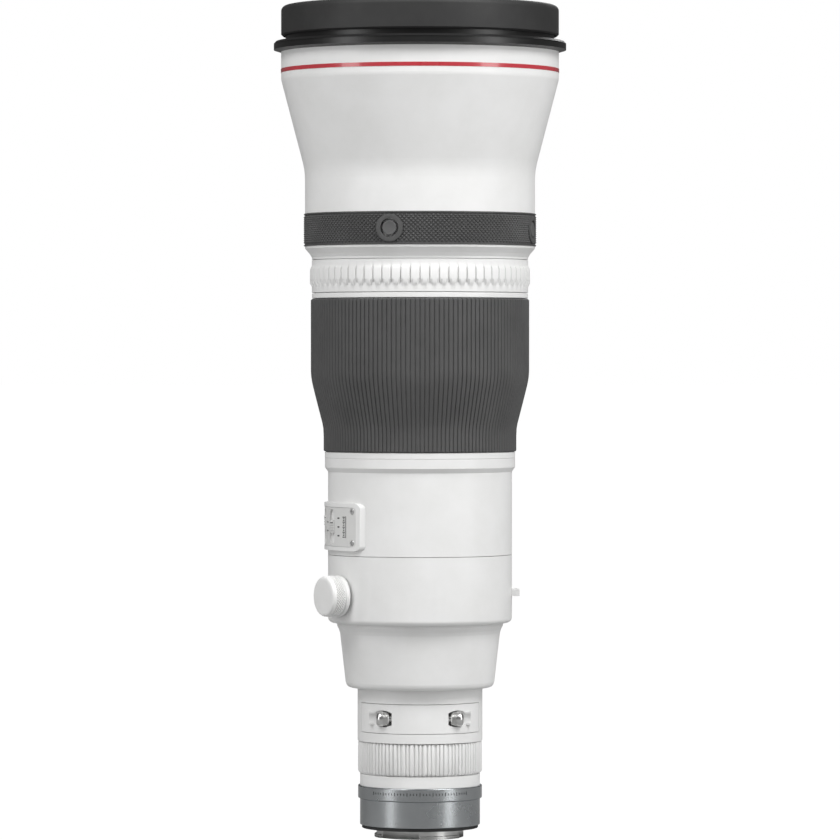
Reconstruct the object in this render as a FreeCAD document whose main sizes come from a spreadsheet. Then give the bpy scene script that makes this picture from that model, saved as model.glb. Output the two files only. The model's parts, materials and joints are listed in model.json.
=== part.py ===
"""Super-telephoto camera lens, standing on its bayonet.

Frame: origin at the centre of the bayonet's flange plane, on the optical axis. +Z points to the
front element. The tripod foot is on +Y, the switch panel on -X. Millimetres and degrees.
Angles about Z are counted from +X towards +Y, so the side opposite the foot is at 270.
"""
import FreeCAD
import Part
import math
import os
import re

import Sketcher

SIZES = {
    # front rim, hood ring
    "lens_top": 472.2,          # front edge of the rim
    "rim_r": 79.8,
    "rim_low": 454.7,
    "rim_round": 3.2,
    "rim_lip": 4.2,             # height of the lip over the hood ring's tube
    "front_bore_r": 75.4,       # clear bore in front of the first element
    "hood_r": 84.0,             # widest ring of the lens
    "hood_top": 451.6,
    "hood_low": 445.6,
    "hood_edge": 1.2,           # chamfer of the hood ring
    "hood_groove": 0.5,         # width and depth of the fine groove round it
    "hood_neck_r": 77.2,
    # white front barrel
    "front_r": 79.8,
    "wall": 2.0,
    "flare_top": 429.8,
    "waist_r": 66.1,
    "flare_low": 377.5,
    "flare_top_round": 6.0,     # blend radius where the flare starts
    "flare_round": 40.0,        # blend radius where it ends
    "red_middle": 434.7,
    "red_width": 2.3,
    "red_depth": 0.6,
    "band_top": 352.8,
    "band_low": 334.0,
    "band_seat_r": 63.5,
    "band_r": 66.7,
    "waist_bore_r": 60.5,
    # function buttons in the band
    "af_height": 343.4,
    "af_first": 255.0,          # angle of the first button
    "af_button_r": 4.4,
    "af_hole_r": 4.8,
    "af_collar_r": 7.7,
    "af_collar_proud": 0.6,
    "af_travel": 0.6,
    # rings on the middle barrel
    "skirt_r": 66.1,
    "skirt_low": 332.8,
    "ring_r": 62.1,
    "cove_low": 327.6,
    "playback_top": 326.4,
    "playback_low": 307.1,
    "spacer_low": 304.2,
    "gap": 0.3,                 # clearance between parts that move on each other
    "tube_r": 59.0,
    "tube_bore_r": 56.5,
    "tube_small_r": 52.0,
    "tube_small_bore_r": 49.7,
    "tube_cone_top": 263.0,
    "tube_cone_low": 233.0,
    "grip_r": 62.7,
    "grip_small_r": 55.8,
    "grip_wall": 1.6,
    "grip_cone_top": 258.7,
    "grip_cone_low": 230.8,
    "grip_round": 40.0,
    "grip_low": 216.4,
    "end_ring_r": 54.7,
    "end_ring_top": 216.1,
    "barrel_top": 212.6,
    # main barrel
    "shoulder_low": 207.3,
    "barrel_r": 52.9,
    "shoulder_end": 204.7,
    "barrel_bore_r": 49.7,
    "collar_top": 157.0,
    "collar_low": 118.0,
    "collar_round": 3.0,
    "collar_seat_r": 49.0,
    "seat_bore_r": 46.0,
    # switch panel
    "panel_r": 55.0,
    "panel_low": 160.6,
    "panel_top": 187.8,
    "panel_start": 124.4,       # angle of the panel's end on the foot's side
    "panel_sweep": 111.2,
    "panel_corner": 2.5,
    "slot_long": 20.0,
    "slot_wide": 7.0,
    "slot_floor_r": 53.5,
    "slider_long": 8.0,
    "slider_wide": 6.0,
    "slider_top_r": 55.4,
    "preset_r": 2.2,
    "screw_r": 1.6,
    "panel_screw_far": 134.8,   # angle of the panel screws on the foot's side
    "panel_screw_near": 225.2,  # angle of the panel screws on the knob's side
    "panel_screw_step": 9.0,    # their height above and below the panel's middle
    # collar, knob, lugs, foot
    "knob_angle": 212.0,
    "knob_height": 134.3,
    "knob_r": 11.8,
    "knob_base": 53.4,
    "knob_face": 65.2,
    "knob_round": 1.4,
    "stem_r": 3.0,
    "stem_end": 49.9,
    "lug_height": 135.4,
    "lug_thick": 4.1,
    "lug_tip": 57.2,
    "lug_root": 52.0,
    "lug_long": 15.0,
    "lug_slot": 2.2,
    "pad_low": 122.0,
    "pad_top": 152.0,
    "pad_wide": 34.0,
    "pad_y": 60.0,
    "foot_wide": 38.0,
    "foot_bar_y": 83.0,
    "foot_base_y": 96.0,
    "foot_low": 84.0,
    "foot_top": 194.0,
    "foot_corner": 8.0,
    "foot_screw_r": 2.5,
    "foot_screw_x": 11.0,
    "foot_screw_inset": 6.0,    # from the pad's edge to the screw
    "pad_root_y": 50.5,
    "socket_quarter_r": 2.55,
    "socket_eighths_r": 4.0,
    "socket_deep": 9.0,
    "socket_middle": 137.0,
    "socket_pitch": 24.0,
    # rear cone and rear barrel
    "cone_top": 117.7,
    "cone_top_r": 47.7,
    "cone_step": 112.0,
    "cone_step_r": 46.0,
    "cone_end": 84.0,
    "cone_end_r": 42.8,
    "cone_low": 80.8,
    "cone_round": 3.0,
    "rear_r": 35.9,
    "rear_bore_r": 27.0,
    "ring_seat_r": 33.0,
    "control_top": 50.3,
    "control_low": 31.3,
    "control_r": 35.65,
    # drop-in filter
    "window_top": 72.8,
    "window_low": 55.7,
    "window_half": 70.0,        # half of the angle that the drawer's front spans
    "drawer_inner_r": 33.0,
    "drawer_back_y": 23.7,
    "drawer_half": 27.6,
    "frame_r": 29.0,
    "frame_low": 60.5,
    "frame_top": 68.0,
    "filter_r": 23.4,
    "release_y": 28.6,
    "release_r": 4.4,
    "release_stem_r": 2.0,
    "release_inner": 17.7,
    "release_outer": 25.0,
    "release_travel": 1.2,
    # mount
    "retainer_r": 34.5,
    "retainer_low": 24.6,
    "mount_bore_r": 28.0,
    "mount_step": 17.25,
    "gasket_r": 33.4,
    "gasket_top": 1.9,
    "flange_r": 31.4,
    "throat_r": 22.5,
    "spigot_r": 25.0,
    "spigot_low": -5.2,
    "bayonet_lug_r": 26.2,
    "bayonet_lug_top": -3.4,
    "mount_screw_ring": 28.4,
    "contact_start": 235.0,
    "contact_sweep": 70.0,
    "contact_margin": 4.0,      # angle between the block's end and the first contact
    "contact_deep": 2.8,
    "contact_r": 0.7,
    # glass and carriers
    "front_glass_r": 76.4,
    "front_glass_top": 451.0,
    "front_glass_low": 440.0,
    "front_glass_curve": 330.0,
    "ledge_r": 74.5,
    "carrier_r": 60.2,
    "carrier_glass_r": 51.9,
    "focus_glass_r": 34.0,
    "focus_cell_r": 48.4,
    "focus_cell_low": 272.0,
    "focus_cell_top": 286.0,
    "cam_r": 50.9,
    "cam_bore_r": 48.8,
    "cam_low": 262.0,
    "cam_top": 295.5,
    "motor_low": 295.8,
    "motor_top": 308.0,
    "steady_glass_r": 21.5,
    "steady_low": 214.0,
    "aperture_low": 190.0,
    "aperture_open_r": 23.0,
    "board_low": 141.0,
    "rear_glass_r": 20.5,
}

AF_BUTTONS = 4
CONTACTS = 12
BLADES = 9
CENTRE_LINE = 270.0             # angle of the side opposite the tripod foot
SLIDERS = {                     # name: (angle of the switch on the panel, height off the middle)
    "stabilizer_mode_switch": (203.4, 0),
    "stabilizer_switch": (188.0, 2.5),
    "focus_mode_switch": (172.0, 2.5),
    "focus_limit_switch": (156.6, 0),
}
PRESET_ANGLE = 143.0

doc = FreeCAD.newDocument("telephoto_lens")
dims = doc.addObject("Spreadsheet::Sheet", "dims")
for row, (alias, size) in enumerate(SIZES.items(), start=1):
    dims.set(f"A{row}", alias)
    dims.set(f"B{row}", str(size))
    dims.setAlias(f"B{row}", alias)
doc.recompute()

nodes = []


def bound(expression):
    """The expression with each sheet alias written as FreeCAD needs it."""
    def sheet_name(match):
        word = match.group(0)
        return "dims." + word if word in SIZES else word
    return re.sub(r"[a-z][a-z_]*", sheet_name, str(expression))


def number(expression):
    """The value of a sheet expression, for the first drawing of a sketch."""
    result = dims.evalExpression(bound(expression))
    return float(getattr(result, "Value", result))


def node(piece, name):
    """Give a finished piece its node name and list it for export."""
    piece.Label = name
    nodes.append(piece)
    return piece


def put(piece, x=0, y=0, z=0, rotation=None):
    """Bind a piece's place to sheet expressions."""
    if rotation is not None:
        piece.Placement = FreeCAD.Placement(FreeCAD.Vector(), rotation)
    for axis, expression in (("x", x), ("y", y), ("z", z)):
        if str(expression) != "0":
            piece.setExpression(".Placement.Base." + axis, bound(expression))
    return piece


def circle_edge(shape, radius, height):
    """The name of a shape's circular edge about Z at this radius and height."""
    for index, edge in enumerate(shape.Edges, start=1):
        curve = edge.Curve
        if isinstance(curve, Part.Circle) and abs(curve.Radius - radius) < 1e-4 \
                and abs(curve.Center.z - height) < 1e-4:
            return f"Edge{index}"
    raise ValueError(f"no circular edge at radius {radius}, height {height}")


def turned(name, outline, rounds=()):
    """A body turned about Z. The outline is (radius, height) corners as sheet expressions, and
    rounds is (corner index, radius) for the corners that are rounded."""
    body = doc.addObject("PartDesign::Body", name)
    sketch = body.newObject("Sketcher::SketchObject", name + "_outline")
    plane = [f for f in body.Origin.OriginFeatures if f.Role == "XZ_Plane"][0]
    sketch.AttachmentSupport = [(plane, "")]
    sketch.MapMode = "FlatFace"
    corners = [FreeCAD.Vector(number(r), number(z), 0) for r, z in outline]
    for index, corner in enumerate(corners):
        following = corners[(index + 1) % len(corners)]
        sketch.addGeometry(Part.LineSegment(corner, following), False)
    for index in range(len(corners)):
        following = (index + 1) % len(corners)
        sketch.addConstraint(Sketcher.Constraint("Coincident", index, 2, following, 1))
    for index, pair in enumerate(outline):
        for kind, axis, expression in zip(("DistanceX", "DistanceY"), (-2, -1), pair):
            if str(expression) == "0":
                sketch.addConstraint(Sketcher.Constraint("PointOnObject", index, 1, axis))
                continue
            size = number(expression)
            rule = sketch.addConstraint(Sketcher.Constraint(kind, -1, 1, index, 1, size))
            sketch.setExpression(f"Constraints[{rule}]", bound(expression))
    feature = body.newObject("PartDesign::Revolution", name + "_turned")
    feature.Profile = sketch
    feature.ReferenceAxis = (sketch, ["V_Axis"])
    feature.Angle = 360
    for index, radius in rounds:
        doc.recompute()
        edge = circle_edge(feature.Shape, corners[index].x, corners[index].y)
        fillet = body.newObject("PartDesign::Fillet", f"{name}_round_{index}")
        fillet.Base = (feature, [edge])
        fillet.setExpression("Radius", bound(radius))
        feature = fillet
    body.Tip = feature
    return body


def ring(name, inner, outer, low, top):
    """A plain ring about Z."""
    return turned(name, [(inner, low), (outer, low), (outer, top), (inner, top)])


def rod(name, radius, low, top, x=0, y=0):
    """A cylinder along Z."""
    piece = doc.addObject("Part::Cylinder", name)
    piece.setExpression("Radius", bound(radius))
    piece.setExpression("Height", bound(f"({top}) - ({low})"))
    return put(piece, x, y, low)


def spoke(name, radius, start, end, angle, height):
    """A cylinder along the line that leaves the axis at this angle and height."""
    piece = doc.addObject("Part::Cylinder", name)
    piece.setExpression("Radius", bound(radius))
    piece.setExpression("Height", bound(f"({end}) - ({start})"))
    lie_down = FreeCAD.Rotation(FreeCAD.Vector(0, 1, 0), 90)
    turn = FreeCAD.Rotation(FreeCAD.Vector(0, 0, 1), number(angle))
    x = f"({start}) * cos(({angle}) * 1 deg)"
    y = f"({start}) * sin(({angle}) * 1 deg)"
    return put(piece, x, y, height, turn * lie_down)


def block(name, x_low, x_high, y_low, y_high, z_low, z_high):
    """A box between two corners."""
    piece = doc.addObject("Part::Box", name)
    piece.setExpression("Length", bound(f"({x_high}) - ({x_low})"))
    piece.setExpression("Width", bound(f"({y_high}) - ({y_low})"))
    piece.setExpression("Height", bound(f"({z_high}) - ({z_low})"))
    return put(piece, x_low, y_low, z_low)


def radial_block(name, inner, outer, width, z_low, z_high, angle):
    """A box that points away from the axis at this angle."""
    piece = doc.addObject("Part::Box", name)
    piece.setExpression("Length", bound(f"({outer}) - ({inner})"))
    piece.setExpression("Width", bound(width))
    piece.setExpression("Height", bound(f"({z_high}) - ({z_low})"))
    turn = FreeCAD.Rotation(FreeCAD.Vector(0, 0, 1), number(angle))
    along, across = f"({inner})", f"({width}) / 2"
    cosine, sine = f"cos(({angle}) * 1 deg)", f"sin(({angle}) * 1 deg)"
    x = f"{along} * {cosine} + {across} * {sine}"
    y = f"{along} * {sine} - {across} * {cosine}"
    return put(piece, x, y, z_low, turn)


def cut(name, base, tool):
    piece = doc.addObject("Part::Cut", name)
    piece.Base = base
    piece.Tool = tool
    return piece


def fuse(name, pieces):
    piece = doc.addObject("Part::MultiFuse", name)
    piece.Shapes = pieces
    return piece


def common(name, pieces):
    piece = doc.addObject("Part::MultiCommon", name)
    piece.Shapes = pieces
    return piece


def group(name, pieces):
    """Separate solids that share one node."""
    piece = doc.addObject("Part::Compound", name)
    piece.Links = pieces
    return piece


def sector(name, inner, outer, low, top, start, sweep):
    """Part of a ring about Z, from the start angle through the sweep."""
    wedge = doc.addObject("Part::Cylinder", name + "_wedge")
    wedge.setExpression("Radius", bound(outer))
    wedge.setExpression("Height", bound(f"({top}) - ({low})"))
    wedge.setExpression("Angle", bound(sweep))
    put(wedge, 0, 0, low, FreeCAD.Rotation(FreeCAD.Vector(0, 0, 1), number(start)))
    core = rod(name + "_core", inner, f"({low}) - 1", f"({top}) + 1")
    return cut(name, wedge, core)


def lens(name, radius, low, top, front_curve, back_curve):
    """A glass element. A positive curve bulges and a negative one is hollow; 0 is flat."""
    shape = rod(name + "_blank", radius, low, top)
    for side, face, curve, outward in (("front", top, front_curve, 1),
                                       ("back", low, back_curve, -1)):
        if curve == 0:
            continue
        reach = abs(number(curve))
        ball = doc.addObject("Part::Sphere", f"{name}_{side}_ball")
        ball.setExpression("Radius", bound(reach))
        if number(curve) > 0:
            put(ball, 0, 0, f"{face} + ({-outward * reach})")
            shape = common(f"{name}_{side}", [shape, ball])
        else:
            hollow = reach - math.sqrt(reach ** 2 - number(radius) ** 2)
            put(ball, 0, 0, f"{face} + ({outward * (reach - hollow)})")
            shape = cut(f"{name}_{side}", shape, ball)
    return shape


def front_end():
    """Rubber rim, hood ring, the white flared barrel and its painted ring."""
    node(turned("front_rim", [
        ("hood_neck_r", "rim_low"), ("rim_r - 1", "rim_low"), ("rim_r", "rim_low + 1"),
        ("rim_r", "lens_top"), ("front_bore_r + 0.8", "lens_top"),
        ("front_bore_r", "lens_top - 1.6"), ("front_bore_r", "lens_top - rim_lip"),
        ("hood_neck_r", "lens_top - rim_lip")], [(3, "rim_round")]), "front_rim")
    node(turned("hood_ring", [
        ("front_bore_r", "hood_low"), ("front_r", "hood_low"), ("hood_r", "hood_low + hood_edge"),
        ("hood_r", "hood_top - 1.8"), ("hood_r - hood_groove", "hood_top - 1.8"),
        ("hood_r - hood_groove", "hood_top - 1.8 + hood_groove"),
        ("hood_r", "hood_top - 1.8 + hood_groove"), ("hood_r - hood_edge", "hood_top"),
        ("hood_neck_r", "hood_top"), ("hood_neck_r", "lens_top - rim_lip"),
        ("front_bore_r", "lens_top - rim_lip")]), "hood_ring")
    groove_top = "red_middle + red_width / 2"
    groove_low = "red_middle - red_width / 2"
    node(turned("front_barrel", [
        ("front_r", "hood_low"), ("front_r", groove_top), ("front_r - red_depth", groove_top),
        ("front_r - red_depth", groove_low), ("front_r", groove_low), ("front_r", "flare_top"),
        ("waist_r", "flare_low"), ("waist_r", "band_top"), ("band_seat_r", "band_top"),
        ("band_seat_r", "band_low"), ("waist_bore_r", "band_low"), ("waist_bore_r", "band_top + 6"),
        ("waist_r - wall", "band_top + 8"), ("waist_r - wall", "flare_low"),
        ("front_r - wall", "flare_top"), ("front_r - wall", "front_glass_low - 4"),
        ("ledge_r", "front_glass_low - 4"), ("ledge_r", "front_glass_low"),
        ("front_r - wall", "front_glass_low"), ("front_r - wall", "hood_low")],
        [(5, "flare_top_round"), (6, "flare_round")]), "front_barrel")
    node(ring("red_ring", "front_r - red_depth", "front_r + 0.15", groove_low, groove_top),
         "red_ring")


def function_buttons():
    """The rubber band with its push buttons."""
    band = ring("band_blank", "band_seat_r", "band_r", "band_low", "band_top")
    collars, holes = [], []
    for index in range(AF_BUTTONS):
        angle = f"af_first + {360 / AF_BUTTONS * index}"
        collars.append(spoke(f"af_collar_{index + 1}", "af_collar_r", "band_seat_r + 1",
                             "band_r + af_collar_proud", angle, "af_height"))
        holes.append(spoke(f"af_hole_{index + 1}", "af_hole_r", "band_seat_r - 6",
                           "band_r + 3", angle, "af_height"))
        button = spoke(f"af_stop_button_{index + 1}", "af_button_r",
                       "band_seat_r + af_travel + gap", "band_r + 0.3", angle, "af_height")
        node(button, f"af_stop_button_{index + 1}")
    raised = fuse("band_raised", [band] + collars)
    drilled = cut("band_drilled", raised, fuse("af_holes", holes))
    core = rod("band_core", "band_seat_r", "band_low - 1", "band_top + 1")
    node(cut("button_band", drilled, core), "button_band")


def middle_rings():
    """The inner tube with its skirt, and the rings that turn on it."""
    node(turned("middle_barrel", [
        ("tube_bore_r", "band_low"), ("skirt_r", "band_low"), ("skirt_r", "skirt_low"),
        ("ring_r + 1.2", "cove_low + 2"), ("ring_r", "cove_low"), ("ring_r", "playback_top"),
        ("tube_r", "playback_top"), ("tube_r", "tube_cone_top"),
        ("tube_small_r", "tube_cone_low"), ("tube_small_r", "barrel_top"),
        ("tube_small_bore_r", "barrel_top"), ("tube_small_bore_r", "tube_cone_low"),
        ("tube_bore_r", "tube_cone_top")]), "middle_barrel")
    node(ring("playback_ring", "tube_r + gap", "ring_r + 0.9", "playback_low + gap",
              "playback_top - gap"), "playback_ring")
    node(ring("ring_spacer", "tube_r", "ring_r", "spacer_low", "playback_low"), "ring_spacer")
    sleeve_r, sleeve_small_r = "grip_r - grip_wall", "grip_small_r - grip_wall"
    node(turned("focus_ring", [
        (sleeve_r, "spacer_low - gap"), (sleeve_r, "grip_cone_top"),
        (sleeve_small_r, "grip_cone_low"), (sleeve_small_r, "grip_low"),
        ("tube_small_r + gap", "grip_low"), ("tube_small_r + gap", "tube_cone_low - 1"),
        ("tube_r + gap", "tube_cone_top - 1"), ("tube_r + gap", "spacer_low - gap")]),
        "focus_ring")
    node(turned("focus_grip", [
        ("grip_r", "spacer_low - gap"), ("grip_r", "grip_cone_top"),
        ("grip_small_r", "grip_cone_low"), ("grip_small_r", "grip_low"),
        (sleeve_small_r, "grip_low"), (sleeve_small_r, "grip_cone_low"),
        (sleeve_r, "grip_cone_top"), (sleeve_r, "spacer_low - gap")],
        [(1, "grip_round"), (2, "grip_round")]), "focus_grip")
    node(ring("grip_end_ring", "tube_small_r", "end_ring_r", "barrel_top", "end_ring_top"),
         "grip_end_ring")


def main_body():
    """The white main barrel, whose lower half is the seat that the tripod collar turns on."""
    node(turned("main_barrel", [
        ("barrel_bore_r", "barrel_top"), ("end_ring_r", "barrel_top"),
        ("end_ring_r", "shoulder_low"), ("barrel_r", "shoulder_end"),
        ("barrel_r", "collar_top + gap"), ("collar_seat_r", "collar_top + gap"),
        ("collar_seat_r", "cone_top"), ("seat_bore_r", "cone_top"),
        ("seat_bore_r", "collar_top + 2"), ("barrel_bore_r", "collar_top + 5")]), "main_barrel")


def switch_panel():
    """The raised panel on -X with its slide switches, a push button and four screws."""
    middle = "(panel_low + panel_top) / 2"
    plate = sector("panel_blank", "barrel_r", "panel_r", "panel_low", "panel_top",
                   "panel_start", "panel_sweep")
    doc.recompute()
    corners = []
    for index, edge in enumerate(plate.Shape.Edges, start=1):
        rise = edge.Vertexes[0].Z - edge.Vertexes[-1].Z
        if isinstance(edge.Curve, Part.Line) and abs(rise) < 1e-6:
            corners.append(index)
    rounded = doc.addObject("Part::Fillet", "panel_rounded")
    rounded.Base = plate
    rounded.Edges = [(index, SIZES["panel_corner"], SIZES["panel_corner"]) for index in corners]
    pockets = []
    for name, (angle, offset) in SLIDERS.items():
        pockets.append(radial_block(name + "_slot", "slot_floor_r", "panel_r + 2", "slot_wide",
                                    f"{middle} - slot_long / 2", f"{middle} + slot_long / 2", angle))
        low = f"{middle} + {offset} - slider_long / 2"
        node(radial_block(name, "slot_floor_r + gap", "slider_top_r", "slider_wide",
                          low, f"{low} + slider_long", angle), name)
    pockets.append(spoke("preset_hole", "preset_r + gap", "slot_floor_r - 0.4", "panel_r + 2",
                         PRESET_ANGLE, middle))
    node(spoke("preset_button", "preset_r", "slot_floor_r + 0.6", "panel_r + 0.5",
               PRESET_ANGLE, middle), "preset_button")
    screws = []
    for side in ("near", "far"):
        for level, sign in (("low", "-"), ("high", "+")):
            label = f"{side}_{level}"
            angle = f"panel_screw_{side}"
            height = f"{middle} {sign} panel_screw_step"
            pockets.append(spoke(f"panel_screw_hole_{label}", "screw_r", "barrel_r + 0.5",
                                 "panel_r + 2", angle, height))
            screws.append(spoke(f"panel_screw_{label}", "screw_r", "barrel_r + 0.5",
                                "panel_r - 0.15", angle, height))
    node(cut("switch_panel", rounded, fuse("panel_pockets", pockets)), "switch_panel")
    node(group("panel_screws", screws), "panel_screws")


def tripod_collar():
    """The collar that turns on the main barrel, with its knob, strap lugs and foot."""
    shell = turned("collar_shell", [
        ("collar_seat_r + gap", "collar_low"), ("barrel_r", "collar_low"),
        ("barrel_r", "collar_top"), ("collar_seat_r + gap", "collar_top")],
        [(1, "collar_round")])
    pad = block("collar_pad", "-pad_wide / 2", "pad_wide / 2", "pad_root_y", "pad_y",
                "pad_low", "pad_top")
    stem_hole = spoke("stem_hole", "stem_r + 0.08", "stem_end - 2", "knob_base + 2",
                      "knob_angle", "knob_height")
    bore = rod("collar_bore", "collar_seat_r + gap", "collar_low - 1", "collar_top + 1")
    node(cut("tripod_collar", fuse("collar_body", [shell, pad]),
             fuse("collar_holes", [stem_hole, bore])), "tripod_collar")
    head = spoke("knob_head", "knob_r", "knob_base", "knob_face", "knob_angle", "knob_height")
    doc.recompute()
    rims = [index for index, edge in enumerate(head.Shape.Edges, start=1)
            if isinstance(edge.Curve, Part.Circle)]
    rounded = doc.addObject("Part::Fillet", "knob_rounded")
    rounded.Base = head
    rounded.Edges = [(index, SIZES["knob_round"], SIZES["knob_round"]) for index in rims]
    stem = spoke("knob_stem", "stem_r", "stem_end", "knob_base + 2", "knob_angle", "knob_height")
    node(fuse("collar_lock_knob", [rounded, stem]), "collar_lock_knob")
    strap_lugs()
    tripod_foot()


def strap_lugs():
    """A slotted lug on each side of the collar."""
    lugs = []
    low, top = "lug_height - lug_thick / 2", "lug_height + lug_thick / 2"
    barrel = rod("lug_seat", "barrel_r", f"{low} - 1", f"{top} + 1")
    for side, angle in (("right", 0), ("left", 180)):
        plate = radial_block(f"lug_plate_{side}", "lug_root - 3", "lug_tip", "lug_long",
                             low, top, angle)
        slot = radial_block(f"lug_slot_{side}", "barrel_r + 0.6", "barrel_r + 0.6 + lug_slot",
                            "lug_long - 5", f"{low} - 1", f"{top} + 1", angle)
        lugs.append(cut(f"lug_{side}", cut(f"lug_trimmed_{side}", plate, barrel), slot))
    node(group("strap_lugs", lugs), "strap_lugs")


def tripod_foot():
    """The foot, with its two tripod sockets, and the screws that hold it to the collar."""
    neck = block("foot_neck", "-pad_wide / 2", "pad_wide / 2", "pad_y", "foot_bar_y + 1",
                 "pad_low", "pad_top")
    bar = block("foot_bar", "-foot_wide / 2", "foot_wide / 2", "foot_bar_y", "foot_base_y",
                "foot_low", "foot_top")
    doc.recompute()
    ends = [index for index, edge in enumerate(bar.Shape.Edges, start=1)
            if abs(edge.Vertexes[0].Y - edge.Vertexes[1].Y) > 1]
    rounded = doc.addObject("Part::Fillet", "foot_bar_rounded")
    rounded.Base = bar
    rounded.Edges = [(index, SIZES["foot_corner"], SIZES["foot_corner"]) for index in ends]
    foot_side = "90"
    sockets = []
    for name, radius, step in (("quarter", "socket_quarter_r", "-socket_pitch / 2"),
                               ("eighths", "socket_eighths_r", "socket_pitch / 2")):
        sockets.append(spoke(f"socket_{name}", radius, "foot_base_y - socket_deep",
                             "foot_base_y + 1", foot_side, f"socket_middle + {step}"))
    holes, screws = [], []
    for side, sign in (("left", "-"), ("right", "")):
        for level, z in (("low", "pad_low + foot_screw_inset"),
                         ("high", "pad_top - foot_screw_inset")):
            label = f"{side}_{level}"
            screw = spoke(f"foot_screw_{label}", "foot_screw_r", "pad_y", "foot_base_y - 2",
                          foot_side, z)
            hole = spoke(f"foot_screw_hole_{label}", "foot_screw_r", "pad_y", "foot_base_y + 1",
                         foot_side, z)
            for piece in (screw, hole):
                piece.setExpression(".Placement.Base.x", bound(f"{sign}foot_screw_x"))
            screws.append(screw)
            holes.append(hole)
    body = fuse("foot_body", [neck, rounded])
    node(cut("tripod_foot", body, fuse("foot_holes", sockets + holes)), "tripod_foot")
    node(group("foot_screws", screws), "foot_screws")


def rear_shells():
    """The stepped cone under the collar and the narrow rear barrel with its filter window."""
    node(turned("rear_cone", [
        ("cone_top_r", "cone_top"), ("cone_top_r", "cone_top - 1.5"),
        ("cone_step_r + 0.6", "cone_step + 2"), ("cone_step_r", "cone_step"),
        ("cone_end_r", "cone_end"), ("cone_end_r - 1", "cone_low"), ("rear_bore_r", "cone_low"),
        ("rear_bore_r", "cone_low + 3"), ("cone_end_r - wall - 1", "cone_low + 3"),
        ("cone_step_r - wall", "cone_step"), ("cone_step_r - wall", "cone_top")],
        [(5, "cone_round")]), "rear_cone")
    blank = turned("rear_barrel_blank", [
        ("rear_r", "cone_low"), ("rear_r", "control_top"), ("ring_seat_r", "control_top"),
        ("ring_seat_r", "control_low"), ("rear_bore_r", "control_low"),
        ("rear_bore_r", "cone_low")])
    window = drawer_shape("window", "gap", "rear_r + 2")
    node(cut("rear_barrel", blank, window), "rear_barrel")


def drawer_shape(name, spare, outer):
    """The filter drawer's form out to a radius, larger all round by the spare amount."""
    low, top = f"window_low + gap - {spare}", f"window_top - gap + {spare}"
    front = sector(name + "_front", f"drawer_inner_r - {spare}", outer, low, top,
                   f"{CENTRE_LINE} - window_half + 0.6 - {spare} * 2",
                   f"2 * (window_half - 0.6 + {spare} * 2)")
    disc = rod(name + "_disc", outer, low, top)
    face = block(name + "_face", f"-drawer_half - {spare}", f"drawer_half + {spare}",
                 "-rear_r - 5", f"-drawer_back_y + {spare}", low, top)
    frame_low, frame_top = f"frame_low - {spare}", f"frame_top + {spare}"
    tongue = block(name + "_tongue", f"-frame_r - {spare}", f"frame_r + {spare}",
                   "-drawer_back_y - 1", "0", frame_low, frame_top)
    end = rod(name + "_end", f"frame_r + {spare}", frame_low, frame_top)
    return fuse(name, [front, common(name + "_block", [disc, face]), tongue, end])


def filter_drawer():
    """The drop-in filter drawer, its glass and the two buttons that release it."""
    middle = "(window_low + window_top) / 2"
    tools = [rod("filter_hole", "filter_r", "window_low - 2", "window_top + 2"),
             rod("filter_seat", "filter_r + 1.6", "frame_low + 2", "frame_low + 4.5")]
    for side, sign in (("left", -1), ("right", 1)):
        lie = FreeCAD.Rotation(FreeCAD.Vector(0, 1, 0), 90 * sign)

        def along_x(name, radius, inner, outer):
            piece = doc.addObject("Part::Cylinder", f"{name}_{side}")
            piece.setExpression("Radius", bound(radius))
            piece.setExpression("Height", bound(f"({outer}) - ({inner})"))
            return put(piece, f"({inner}) * {sign}", "-release_y", middle, lie)

        tools.append(along_x("release_scoop", "release_r + 0.4",
                             "release_inner - release_travel - gap", "rear_r + 2"))
        tools.append(along_x("release_stem_hole", "release_stem_r + gap",
                             "release_inner - 6.5", "release_inner"))
        pad = along_x("release_pad", "release_r", "release_inner", "release_outer")
        stem = along_x("release_stem", "release_stem_r", "release_inner - 4.5",
                       "release_inner + 1")
        name = f"release_button_{side}"
        node(fuse(name, [pad, stem]), name)
    drawer = drawer_shape("drawer_blank", "0", "rear_r")
    node(cut("filter_drawer", drawer, fuse("drawer_tools", tools)), "filter_drawer")
    node(rod("filter_glass", "filter_r + 1.6", "frame_low + 2", "frame_low + 4.5"), "filter_glass")


def rear_rings():
    """The control ring and the silver mount rings below it."""
    node(ring("control_ring", "ring_seat_r + gap", "control_r", "control_low + gap",
              "control_top - gap"), "control_ring")
    node(ring("control_ring_retainer", "mount_bore_r", "retainer_r", "retainer_low",
              "control_low"), "control_ring_retainer")
    node(ring("mount_band", "mount_bore_r", "control_r", "mount_step", "retainer_low"),
         "mount_band")
    node(ring("mount_barrel", "mount_bore_r", "retainer_r", "gasket_top", "mount_step"),
         "mount_barrel")
    node(ring("dust_gasket", "flange_r", "gasket_r", "0", "gasket_top"), "dust_gasket")


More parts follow.
